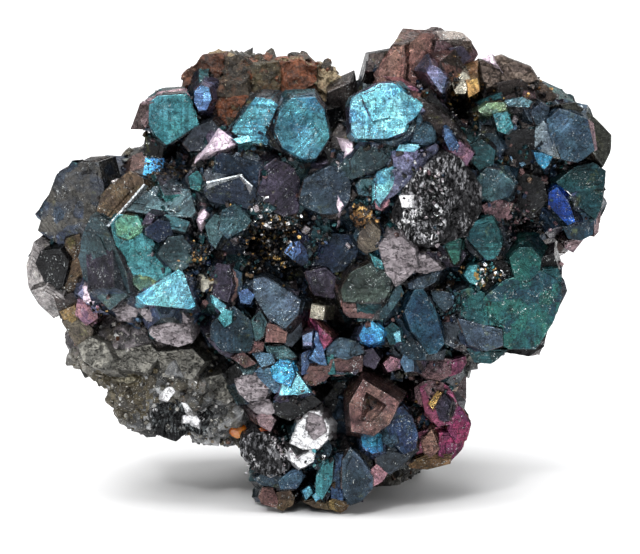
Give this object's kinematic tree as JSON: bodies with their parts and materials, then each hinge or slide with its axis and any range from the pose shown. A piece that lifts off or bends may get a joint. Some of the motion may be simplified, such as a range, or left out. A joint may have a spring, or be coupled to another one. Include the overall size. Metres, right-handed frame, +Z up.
{
  "type": "galena mineral specimen",
  "caption": "Cluster of intergrown galena crystals with blue and teal tarnish on ore rock, with brown sphalerite crystals at the top left.",
  "frame": {"origin": "middle of the width and depth, at the height of the flats that the specimen stands on", "axes": "+X to the right and along the width seen from the best side, which looks along -Y, +Z up"},
  "size_m": [0.0588, 0.0334, 0.0482],
  "materials": {
    "tarnished_galena": "satin",
    "ore_rock": "matte",
    "sphalerite": "satin"
  },
  "bodies": {
    "root": {"galena_crystals": "tarnished_galena", "matrix_rock": "ore_rock", "sphalerite_crystals": "sphalerite"}
  },
  "joints": []
}
